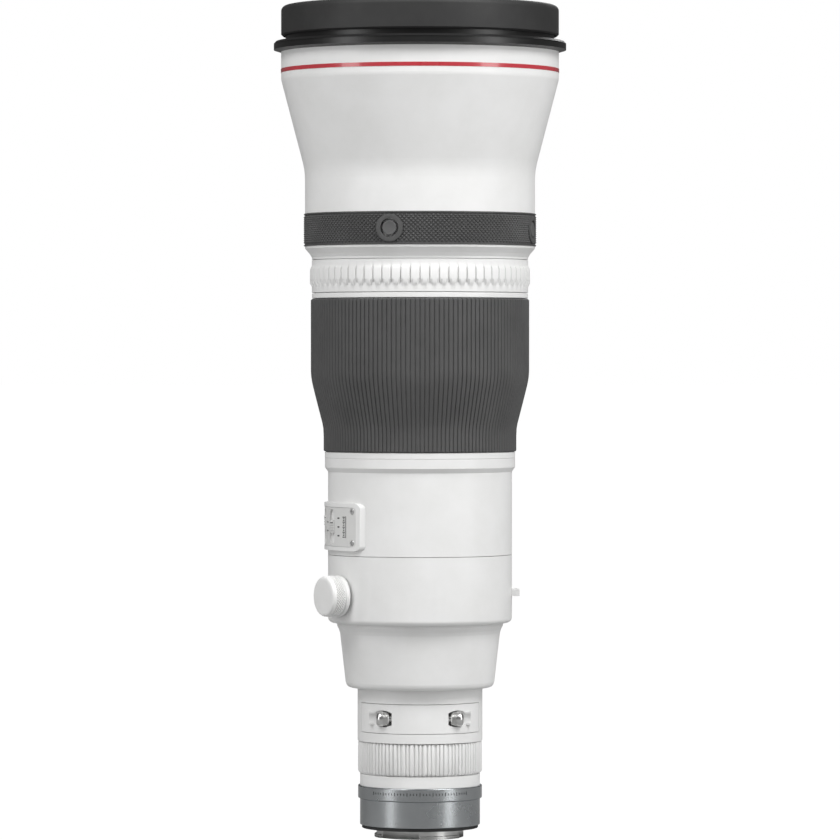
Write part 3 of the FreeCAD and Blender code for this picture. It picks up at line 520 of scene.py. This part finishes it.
grip = turned("focus_grip_ribbed", OUTER_GRIP + INNER_GRIP, GRIP_STEPS)
outer_radius = {round(z, 1): r for r, z in OUTER_GRIP}
for groove_step, share in ((0, 1.0), (3, -0.12)):
    pick(grip, "verts", lambda v: step_of(v, GRIP_STEPS, STEPS_PER_RIB) == groove_step and
         abs(reach(v) - outer_radius.get(round(v.co.z / MM, 1), 0)) < 0.05)
    scale_out(1 - share * GROOVE_DEPTH / GRIP_MIDDLE_R)
complete(grip, "focus_ring", "grip_rubber", "focus_grip", smooth=25)

# %% [markdown]
# ## Playback ring
#
# The white ring above the grip is turned a few degrees by a fingertip and springs back. It has a
# smooth edge above and below, and between them a belt of broad ribs that stand about a millimetre
# proud. The grooves are narrow, and each one opens into a small triangle at its lower end, where
# the ribs taper off. So a rib has ten steps, and the steps beside the groove are pulled in too,
# fewer of them the higher up, which leaves the triangle.

# %% Playback ring
PLAYBACK_RIBS, PLAYBACK_STEPS = 72, 10
PLAYBACK_R = 63
BELT_LOW, TRIANGLE_TOP, BELT_HIGH = 312.7, 314.7, 320.6
playback = turned("playback_ring_ribbed",
                  [(59.3, 307.4), (61.9, 307.4), (62.15, 307.7), (62.15, 310.6), (62.5, 311.4),
                   (63.2, BELT_LOW), (63.25, TRIANGLE_TOP), (63.25, BELT_HIGH), (62.75, 321.8),
                   (62.2, 322.9), (62.15, 325.8), (61.9, 326.1), (59.3, 326.1)],
                  PLAYBACK_RIBS * PLAYBACK_STEPS)
GROOVE_PULLS = {        # height of the row, then how deep each step from the groove's middle goes
    311.4: (0.5, 0.5, 0.45, 0.15), BELT_LOW: (1.25, 1.2, 0.9), TRIANGLE_TOP: (1.2,),
    BELT_HIGH: (1.1,), 321.8: (0.6,)}
for height, pulls in GROOVE_PULLS.items():
    for aside, depth in enumerate(pulls):
        pick(playback, "verts", lambda v: abs(v.co.z / MM - height) < 0.1 and reach(v) > 61 and
             step_of(v, PLAYBACK_RIBS * PLAYBACK_STEPS, PLAYBACK_STEPS) in
             (aside, (PLAYBACK_STEPS - aside) % PLAYBACK_STEPS))
        scale_out(1 - depth / PLAYBACK_R)
complete(playback, "playback_ring", "white_paint", "playback_ring", smooth=28)

# %% [markdown]
# ## Control ring
#
# The ring near the mount has finer ribs: flat lands with flat-bottomed slots between them, milled
# right through both edges, so that the ring looks like a gear wheel. The whole outer side of the
# outline is pulled in at the steps of a slot. Steps of even width would waste faces on the lands,
# so a rib has only five: two for the slot and three for the land.

# %% Control ring
CONTROL_RIBS, CONTROL_STEPS = 90, 5
SLOT_DEPTH, CONTROL_R = 0.95, 35.65
control = turned("control_ring_ribbed",
                 [(33.3, 31.6), (34.3, 31.6), (35.2, 32.2), (CONTROL_R, 33.1), (CONTROL_R, 48.9),
                  (35.35, 49.7), (34.9, 50.0), (33.3, 50.0)], CONTROL_RIBS * CONTROL_STEPS)
pick(control, "verts", lambda v: reach(v) > 34 and
     step_of(v, CONTROL_RIBS * CONTROL_STEPS, CONTROL_STEPS) in (0, 1))
scale_out(1 - SLOT_DEPTH / CONTROL_R)
complete(control, "control_ring", "white_paint", "control_ring", smooth=28)

# %% [markdown]
# ## Button band
#
# A rubber band with a diamond knurl runs round the lens above the playback ring, so that gloved
# fingers find the four focus stop buttons in it. On a real mould the knurl is two sets of crossed
# spiral grooves. In the mesh the same lattice comes from a plain grid: poke every square, dissolve
# the old edges so that the quarters join into diamonds, then poke the diamonds outwards. Each
# button sits in a smooth raised collar, which is cut from a tube so that it follows the band.

# %% Knurl helper
DIAMOND_HEIGHT = 0.95


def place_of(edge):
    """A key that finds the same edge again after the mesh has changed."""
    return tuple(sorted(tuple(round(c, 7) for c in v.co) for v in edge.verts))


def knurl(piece, wanted, height):
    """Turn the faces of a grid into raised diamonds."""
    pick(piece, "faces", wanted)
    grid = bmesh.from_edit_mesh(piece.data)
    old = {place_of(e) for e in grid.edges if all(f.select for f in e.link_faces)}
    bpy.ops.mesh.poke()
    pick(piece, "edges", lambda e: place_of(e) in old)
    bpy.ops.mesh.dissolve_edges(use_verts=False, use_face_split=False)
    pick(piece, "faces", lambda f: len(f.verts) == 4 and wanted(f))
    bpy.ops.mesh.poke(offset=height)


# %% Button band with its knurl
BAND_COLUMNS, BAND_ROWS = 164, 7
KNURL_LOW, KNURL_HIGH, KNURL_BASE = 335.0, 351.8, 66.0
row_height = (KNURL_HIGH - KNURL_LOW) / BAND_ROWS
band = turned("button_band_knurled",
              [(64.4, 334.0), (66.3, 334.0), (66.75, 334.3), (66.75, 334.8)] +
              [(KNURL_BASE, KNURL_LOW + row * row_height) for row in range(BAND_ROWS + 1)] +
              [(66.75, 352.0), (66.75, 352.5), (66.3, 352.8), (64.4, 352.8)], BAND_COLUMNS)
knurl(band, lambda f: KNURL_LOW < f.calc_center_median().z / MM < KNURL_HIGH and
      f.calc_center_median().xy.length / MM > 65.8, DIAMOND_HEIGHT * MM)
print("band has", len(bmesh.from_edit_mesh(band.data).faces), "faces")

# %% Helpers to place a piece on a spoke and to cut with it
def place(piece, matrix):
    """Move a piece by a matrix, and keep the move in its mesh."""
    hold(piece)
    piece.matrix_world = matrix
    bpy.ops.object.transform_apply(location=True, rotation=True, scale=True)
    return piece


def on_spoke(piece, angle, height):
    """Turn a piece that was made along Z so that it points away from the axis at this angle."""
    return place(piece, Matrix.Translation((0, 0, height * MM)) @
                 Matrix.Rotation(radians(angle), 4, "Z") @ Matrix.Rotation(radians(90), 4, "Y"))


def carve(piece, tool, operation="DIFFERENCE"):
    """Cut a piece with a tool, join them or keep what they share, and throw the tool away."""
    apply_modifier(piece, "BOOLEAN", operation=operation, object=tool, solver="EXACT")
    bpy.data.objects.remove(tool)
    return piece


def join(pieces):
    """Make one piece of several."""
    start()
    for piece in pieces:
        piece.select_set(True)
    bpy.context.view_layer.objects.active = pieces[0]
    bpy.ops.object.join()
    return pieces[0]


# %% Raised collars round the buttons
BUTTON_ANGLES, BUTTON_HEIGHT = (255, 345, 75, 165), 343.4
COLLAR_R, COLLAR_HOLE_R = 7.8, 5.3

collars = []
for angle in BUTTON_ANGLES:
    carve(band, on_spoke(turned("hole_tool", [(COLLAR_R, 60), (COLLAR_R, 70)], 48, ring=False),
                         angle, BUTTON_HEIGHT))
    collar = on_spoke(turned("button_collar", [(COLLAR_HOLE_R, 60), (COLLAR_R, 60), (COLLAR_R, 70),
                                               (COLLAR_HOLE_R, 70)], 48), angle, BUTTON_HEIGHT)
    carve(collar, turned("follow_tool", [(64.4, 334.3), (67.1, 334.3), (67.1, 352.5),
                                         (64.4, 352.5)], 240), "INTERSECT")
    soften(collar, 0.45 * MM, angle=50, segments=3)
    collars.append(collar)
band = join([band] + collars)
complete(band, "barrel", "grip_rubber", "button_band", smooth=20)

# %% [markdown]
# ## Push buttons
#
# Each focus stop button is a round pad with a rounded edge and a shallow dish that the fingertip
# settles in. It starts as a cylinder; its top face is inset and the inset face is sunk.

# %% Push buttons
def dished_pad(name, radius, low, high, dish, edge):
    """A round pad along Z with a sunk middle and a rounded edge."""
    start()
    bpy.ops.mesh.primitive_cylinder_add(vertices=40, radius=radius * MM, depth=(high - low) * MM,
                                        location=(0, 0, (low + high) / 2 * MM))
    pad = named(name)
    pick(pad, "faces", lambda f: f.normal.z > 0.9)
    bpy.ops.mesh.inset(thickness=edge * MM)
    bpy.ops.mesh.inset(thickness=edge * MM)
    bpy.ops.transform.translate(value=(0, 0, -dish * MM))
    bpy.ops.mesh.inset(thickness=edge * MM)
    bpy.ops.transform.translate(value=(0, 0, -dish * 0.4 * MM))
    soften(pad, edge * 0.6 * MM, angle=40, segments=3)
    return pad


for index, angle in enumerate(BUTTON_ANGLES, start=1):
    pad = on_spoke(dished_pad(f"af_stop_pad_{index}", 4.1, 64.6, 66.9, 0.15, 0.6), angle,
                   BUTTON_HEIGHT)
    complete(pad, f"af_stop_button_{index}", "button_plastic", f"af_stop_button_{index}")

# %% [markdown]
# ## Collar lock knob
#
# The knob clamps the tripod collar. It has a flat face with a rounded shoulder, a knurled belt for
# the fingers, and a plain flange against the collar. It is turned as one piece along Z, knurled in
# the same way as the band, and then laid on its spoke.

# %% Collar lock knob
KNOB_ANGLE, KNOB_HEIGHT = 212, 134.3
KNOB_COLUMNS, KNOB_ROWS = 46, 4
BELT_START, BELT_END, BELT_R = 56.6, 62.4, 10.95
knob = turned("lock_knob_knurled",
              [(3.0, 50.0), (3.0, 53.4), (10.6, 53.4), (11.5, 53.8), (11.8, 54.6), (11.75, 55.9),
               (11.35, 56.3)] +
              [(BELT_R, BELT_START + row * (BELT_END - BELT_START) / KNOB_ROWS)
               for row in range(KNOB_ROWS + 1)] +
              [(11.5, 62.7), (11.55, 63.2), (11.4, 64.0), (10.95, 64.7), (10.2, 65.1),
               (9.4, 65.2)], KNOB_COLUMNS, ring=False)
knurl(knob, lambda f: BELT_START < f.calc_center_median().z / MM < BELT_END, DIAMOND_HEIGHT * MM)
on_spoke(knob, KNOB_ANGLE, KNOB_HEIGHT)
complete(knob, "collar_lock_knob", "white_paint", "collar_lock_knob", smooth=22)

# %% [markdown]
# ## Switch panel
#
# The panel on the left side is a raised frame that follows the barrel. It has a rounded rim and
# carries a grey label plate, four slide switches in long slots, a push button and four screws. A
# flat plate bent round the barrel would do, but cutting it from a turned ring with a rounded block
# gives the true curve at once. The slots are cut through the plate into the frame.

# %% Frame and label plate
PANEL_LOW, PANEL_HIGH, PANEL_HALF_Y = 160.1, 187.3, 43.1
PANEL_MIDDLE = (PANEL_LOW + PANEL_HIGH) / 2


def rounded_block(name, half_y, low, high, corner):
    """A block on the panel's side, whose four long corners are rounded."""
    start()
    bpy.ops.mesh.primitive_cube_add(size=1, location=(-45 * MM, 0, (low + high) / 2 * MM),
                                    scale=(32 * MM, 2 * half_y * MM, (high - low) * MM))
    block = named(name)
    pick(block, "edges", lambda e: abs(e.verts[0].co.x - e.verts[1].co.x) > 10 * MM)
    bpy.ops.mesh.bevel(offset=corner * MM, segments=6, affect="EDGES")
    return block


def side_plate(name, inner, outer, half_y, low, high, corner):
    """A plate on the panel's side that follows the barrel between two radii."""
    plate = turned(name, [(inner, low), (outer, low), (outer, high), (inner, high)], 288)
    return carve(plate, rounded_block(name + "_block", half_y, low, high, corner), "INTERSECT")


frame_plate = side_plate("switch_panel_frame", 52.95, 55.0, PANEL_HALF_Y, PANEL_LOW, PANEL_HIGH,
                         3.2)
bpy.ops.object.mode_set(mode="EDIT")
pick(frame_plate, "edges", lambda e: all(reach(v) > 54.95 for v in e.verts) and
     e.calc_face_angle(0) > radians(50))
bpy.ops.mesh.bevel(offset=1.5 * MM, segments=5, affect="EDGES", clamp_overlap=True)
PLATE_HALF_Y, PLATE_MARGIN, PLATE_R = 41.0, 2.5, 54.8
carve(frame_plate, side_plate("plate_tool", 53.6, 57, PLATE_HALF_Y + 0.15, PANEL_LOW +
                              PLATE_MARGIN - 0.15, PANEL_HIGH - PLATE_MARGIN + 0.15, 2.1))
label_plate = side_plate("switch_label_plate", 53.62, PLATE_R, PLATE_HALF_Y,
                         PANEL_LOW + PLATE_MARGIN, PANEL_HIGH - PLATE_MARGIN, 2.0)
print("frame", len(frame_plate.data.polygons), "plate", len(label_plate.data.polygons))

# %% Slots and screw holes
SLOT_LONG, SLOT_WIDE, SLOT_FLOOR = 20.0, 7.0, 53.55
PRESET_HOLE_R, SCREW_HOLE_R = 2.5, 1.75
SWITCHES = {"stabilizer_mode_switch": 203.4, "stabilizer_switch": 188.0,
            "focus_mode_switch": 172.0, "focus_limit_switch": 156.6}
PANEL_SCREWS = [(angle, PANEL_MIDDLE + step) for angle in (134.8, 225.2) for step in (-9, 9)]
PRESET_ANGLE = 143


def bar(name, long, wide, low, high, corner):
    """A bar along Z between two levels; long lies along the lens once it is on its spoke."""
    start()
    bpy.ops.mesh.primitive_cube_add(size=1, location=(0, 0, (low + high) / 2 * MM),
                                    scale=(long * MM, wide * MM, (high - low) * MM))
    made = named(name)
    pick(made, "edges", lambda e: abs(e.verts[0].co.z - e.verts[1].co.z) > (high - low) * MM / 2)
    bpy.ops.mesh.bevel(offset=corner * MM, segments=6, affect="EDGES")
    return made


for angle in SWITCHES.values():
    for plate in (frame_plate, label_plate):
        carve(plate, on_spoke(bar("slot_tool", SLOT_LONG, SLOT_WIDE, SLOT_FLOOR, 58,
                                  SLOT_WIDE / 2 - 0.01), angle, PANEL_MIDDLE))
for angle, height in PANEL_SCREWS + [(PRESET_ANGLE, PANEL_MIDDLE)]:
    hole_r = PRESET_HOLE_R if angle == PRESET_ANGLE else SCREW_HOLE_R
    for plate in (frame_plate, label_plate):
        carve(plate, on_spoke(turned("hole_tool", [(hole_r, 53.3), (hole_r, 58)], 28, ring=False),
                              angle, height))
complete(frame_plate, "barrel", "white_paint", "switch_panel", smooth=30)
complete(label_plate, "barrel", "switch_plastic", smooth=30)

# %% [markdown]
# ## Slide switches, screws and marks
#
# A slide switch is a low block with ridges across it, so that a thumb can push it along the lens,
# and a dark index bar across it that points at its position marks. One is modelled and each switch
# gets its own copy. The screws have a cross recess. The marks are plain ticks and a line, in black
# ink.

# %% Slide switches
SLIDER_LONG, SLIDER_WIDE = 8.0, 6.0
RIDGE_PITCH, RIDGE_SHIFT = 1.5, 0.2
INDEX_LONG, INDEX_WIDE, INDEX_SHIFT = 1.1, 3.4, -2.6
SLIDER_OFFSETS = {"stabilizer_switch": 2.5, "focus_mode_switch": 2.5}

slider = bar("slider", SLIDER_LONG, SLIDER_WIDE, 53.8, 54.9, 1.6)
soften(slider, 0.3 * MM, angle=50, segments=2)
ridges = []
for step in (-2, -1, 0, 1):
    ridge = bar("ridge", 0.75, SLIDER_WIDE - 1.4, 54.6, 55.35, 0.3)
    bpy.ops.mesh.select_all(action="SELECT")
    bpy.ops.transform.translate(value=((step * RIDGE_PITCH + RIDGE_SHIFT) * MM, 0, 0))
    soften(ridge, 0.2 * MM, angle=50)
    ridges.append(ridge)
slider = join([slider] + ridges)
for name, angle in SWITCHES.items():
    hold(slider)
    bpy.ops.object.duplicate()
    piece = bpy.context.object
    piece.name = piece.data.name = name + "_ridged"
    height = PANEL_MIDDLE + SLIDER_OFFSETS.get(name, 0)
    on_spoke(piece, angle, height)
    complete(piece, name, "switch_plastic", name)
    index_bar = bar(name + "_index", INDEX_LONG, INDEX_WIDE, 54.7, 55.2, 0.3)
    bpy.ops.mesh.select_all(action="SELECT")
    bpy.ops.transform.translate(value=(INDEX_SHIFT * MM, 0, 0))
    on_spoke(index_bar, angle, height)
    complete(index_bar, name, "black_paint")
bpy.data.objects.remove(slider)

# %% Screws and the preset button
def cross_screw(name, radius, low, high):
    """A screw head along Z with a cross recess and a rounded edge."""
    head = turned(name, [(radius, low), (radius, high - 0.25), (radius - 0.3, high)], 32,
                  ring=False)
    for turn in (0, 90):
        tool = bar("cross_tool", radius * 1.3, radius * 0.32, high - 0.6, high + 1, 0.02)
        bpy.ops.object.mode_set(mode="OBJECT")
        tool.rotation_euler.z = radians(turn)
        bpy.ops.object.transform_apply(rotation=True)
        carve(head, tool)
    return head


screws = join([on_spoke(cross_screw("panel_screw_heads", 1.6, 53.6, 54.95), angle, height)
               for angle, height in PANEL_SCREWS])
complete(screws, "barrel", "screw_steel", "panel_screws")
preset = on_spoke(dished_pad("preset_pad", 2.2, 54.1, 55.5, 0.15, 0.35), PRESET_ANGLE,
                  PANEL_MIDDLE)
complete(preset, "preset_button", "button_plastic", "preset_button")

# %% Position marks
DISTANCE_ANGLE, DISTANCE_LINE_ANGLE, DISTANCE_PITCH = 217.6, 219.6, 0.95
marks = []


def mark(long, wide, angle, height, level=PLATE_R):
    """A flat ink mark on a spoke, long along the lens and wide round it."""
    ink = bar("marks", long, wide, level - 0.15, level + 0.05, min(long, wide) * 0.3)
    marks.append(on_spoke(ink, angle, height))


for angle, positions in ((212.0, (-5, 0, 5)), (195.9, (-2.5, 2.5)), (164.4, (-2.5, 2.5)),
                         (148.4, (-5, 0, 5))):
    for position in positions:
        mark(0.8, 2.1, angle, PANEL_MIDDLE + position)
for position in range(-6, 7):
    mark(0.5, 1.3 if position % 3 else 2.2, DISTANCE_ANGLE,
         PANEL_MIDDLE + position * DISTANCE_PITCH)
mark(12.4, 0.45, DISTANCE_LINE_ANGLE, PANEL_MIDDLE)
complete(join(marks), "barrel", "black_paint")

# %% [markdown]
# ## Release buttons
#
# Two sprung metal buttons, one at each side of the filter drawer, are squeezed together to let the
# drawer out. Each lies on its side in a round scoop. Its outer end is domed for the fingertip, and
# fine ridges near its inner end stop it from slipping. It is turned along Z like the rings and then
# laid along X, because a turned outline gives the dome and the ridges in one go.

# %% Release buttons
RELEASE_R, RELEASE_DEPTH, RELEASE_HEIGHT = 4.35, -28.6, 64.25
FINE_RIDGES, FINE_PITCH, FINE_DEPTH = 4, 0.7, 0.3
ridge_outline = [(RELEASE_R - depth, start_at + step * FINE_PITCH) for step in range(FINE_RIDGES)
                 for depth, start_at in ((0, 18.3), (FINE_DEPTH, 18.5), (FINE_DEPTH, 18.65),
                                         (0, 18.85))]
BUTTON_OUTLINE = ([(1.9, 13.2), (1.9, 17.7), (RELEASE_R - 0.5, 17.7)] + ridge_outline +
                  [(RELEASE_R, 22.3), (4.2, 23.2), (3.8, 24.0), (3.1, 24.55), (2.1, 24.88),
                   (0.9, 25.0)])
for side, sign in (("left", -1), ("right", 1)):
    button = turned(f"release_pad_{side}", BUTTON_OUTLINE, 40, ring=False)
    place(button, Matrix.Translation((0, RELEASE_DEPTH * MM, RELEASE_HEIGHT * MM)) @
          Matrix.Rotation(radians(90 * sign), 4, "Y"))
    complete(button, f"release_button_{side}", "chrome", f"release_button_{side}", smooth=30)

# %% [markdown]
# ## Marks on the silver band
#
# The silver band above the mount carries a row of fine dark marks. Here it is a plain scale of
# ticks, with a longer one at every fourth step.

# %% Band scale
marks = []
BAND_R, BAND_MARK_HEIGHT = 35.65, 21.4
FRONT_ANGLE, TICK_ANGLE = 270, 3
for step in range(-16, 17):
    mark(2.0 if step % 4 == 0 else 1.2, 0.42, FRONT_ANGLE + step * TICK_ANGLE, BAND_MARK_HEIGHT,
         BAND_R)
complete(join(marks), "barrel", "black_paint")

# %% [markdown]
# ## Foot and its screws
#
# The foot bolts to the collar and carries the lens on a tripod. It is a cast bar with rounded ends
# on a short neck. Two blocks joined and softened make it, and the tripod sockets and screw holes
# are drilled from its base afterwards, so that their edges stay crisp. Each has a small
# countersink.

# %% Foot
FOOT_BASE, FOOT_MIDDLE_HEIGHT = 96.0, 137.0


def drilled(piece, radius, top, height, aside=0.0):
    """Drill a hole with a countersink into the foot's base."""
    tool = turned("drill", [(radius, top), (radius, FOOT_BASE - 0.5), (radius + 0.5, FOOT_BASE),
                            (radius + 0.5, FOOT_BASE + 2)], 40, ring=False)
    on_spoke(tool, 90, height)
    tool.location.x = aside * MM
    bpy.ops.object.transform_apply(location=True)
    return carve(piece, tool)


def foot_block(name, half_x, y_low, y_high, z_low, z_high, corner):
    """A block of the foot whose four corners round the tripod's direction are rounded."""
    start()
    bpy.ops.mesh.primitive_cube_add(
        size=1, location=(0, (y_low + y_high) / 2 * MM, (z_low + z_high) / 2 * MM),
        scale=(2 * half_x * MM, (y_high - y_low) * MM, (z_high - z_low) * MM))
    block = named(name)
    pick(block, "edges", lambda e: abs(e.verts[0].co.y - e.verts[1].co.y) > 5 * MM)
    bpy.ops.mesh.bevel(offset=corner * MM, segments=8, affect="EDGES")
    return block


foot = foot_block("tripod_foot_cast", 19, 83, FOOT_BASE, 84, 194, 8)
soften(foot, 1.4 * MM, angle=50, segments=3)
carve(foot, foot_block("neck", 17, 60, 84.5, 122, 152, 2.5), "UNION")
for radius, step in ((2.55, -12), (4.0, 12)):
    drilled(foot, radius, FOOT_BASE - 9, FOOT_MIDDLE_HEIGHT + step)
SCREW_PLACES = [(x, z) for x in (-11, 11) for z in (128, 146)]
for x, z in SCREW_PLACES:
    drilled(foot, 2.5, 60.2, z, x)
print("foot made", len(foot.data.polygons), "faces")
complete(foot, "tripod_collar", "white_paint", "tripod_foot", smooth=35)

# %% Hex socket screws
foot_screws = []
for x, z in SCREW_PLACES:
    screw = turned("foot_socket_screws", [(2.4, 60.2), (2.4, 93.6), (2.0, 94.0)], 32, ring=False)
    carve(screw, turned("hex_tool", [(1.35, 91.8), (1.35, 95)], 6, ring=False))
    on_spoke(screw, 90, z)
    screw.location.x = x * MM
    bpy.ops.object.transform_apply(location=True)
    foot_screws.append(screw)
complete(join(foot_screws), "tripod_collar", "screw_steel", "foot_screws")

# %% Mount screws, which face down
MOUNT_SCREW_RING = 28.4
mount_screws = []
for turn in (45, 135, 225, 315):
    head = cross_screw("mount_screw_heads", 1.6, -1.9, -0.1)
    mount_screws.append(place(head, Matrix.Rotation(radians(turn), 4, "Z") @
                              Matrix.Translation((MOUNT_SCREW_RING * MM, 0, 0)) @
                              Matrix.Rotation(pi, 4, "X")))
complete(join(mount_screws), "barrel", "screw_steel", "mount_screws")

# %% [markdown]
# ## Soft edges on the plain rings
#
# The frame's rings meet edge to edge with sharp corners. On the real lens every machined edge is
# broken by a small chamfer, and that thin line of light or shadow is how the eye finds where one
# ring ends and the next begins. So the plain rings are copied, their loose triangles merged and
# joined into large faces again, and the sharp edges are bevelled.

# %% Helper to copy a frame part with soft edges
slots = {part["node"]: part["material_slot"] for part in frame["record"]["subparts"]}
bodies = {node: body for body, held in frame["record"]["behaviour"]["bodies"].items()
          for node in held}


def softened_copy(node, width, angle=45, segments=2):
    """A copy of a frame part with its sharp edges rounded, in the same place and finish."""
    piece = bpy.data.objects.new(node + "_edged", nodes[node].data.copy())
    bpy.context.scene.collection.objects.link(piece)
    hold(piece)
    bpy.ops.object.mode_set(mode="EDIT")
    bpy.ops.mesh.select_all(action="SELECT")
    bpy.ops.mesh.remove_doubles(threshold=0.000005)
    bpy.ops.mesh.dissolve_limited(angle_limit=radians(0.4))
    soften(piece, width * MM, angle=angle, segments=segments)
    complete(piece, bodies[node], slots[node], node, smooth=18)


# %% Copy the plain rings
for node, width in (("grip_end_ring", 0.35), ("ring_spacer", 0.35), ("mount_band", 0.45),
                    ("mount_barrel", 0.4), ("control_ring_retainer", 0.3), ("dust_gasket", 0.3),
                    ("bayonet", 0.3), ("strap_lugs", 0.6), ("tripod_collar", 0.6)):
    softened_copy(node, width)
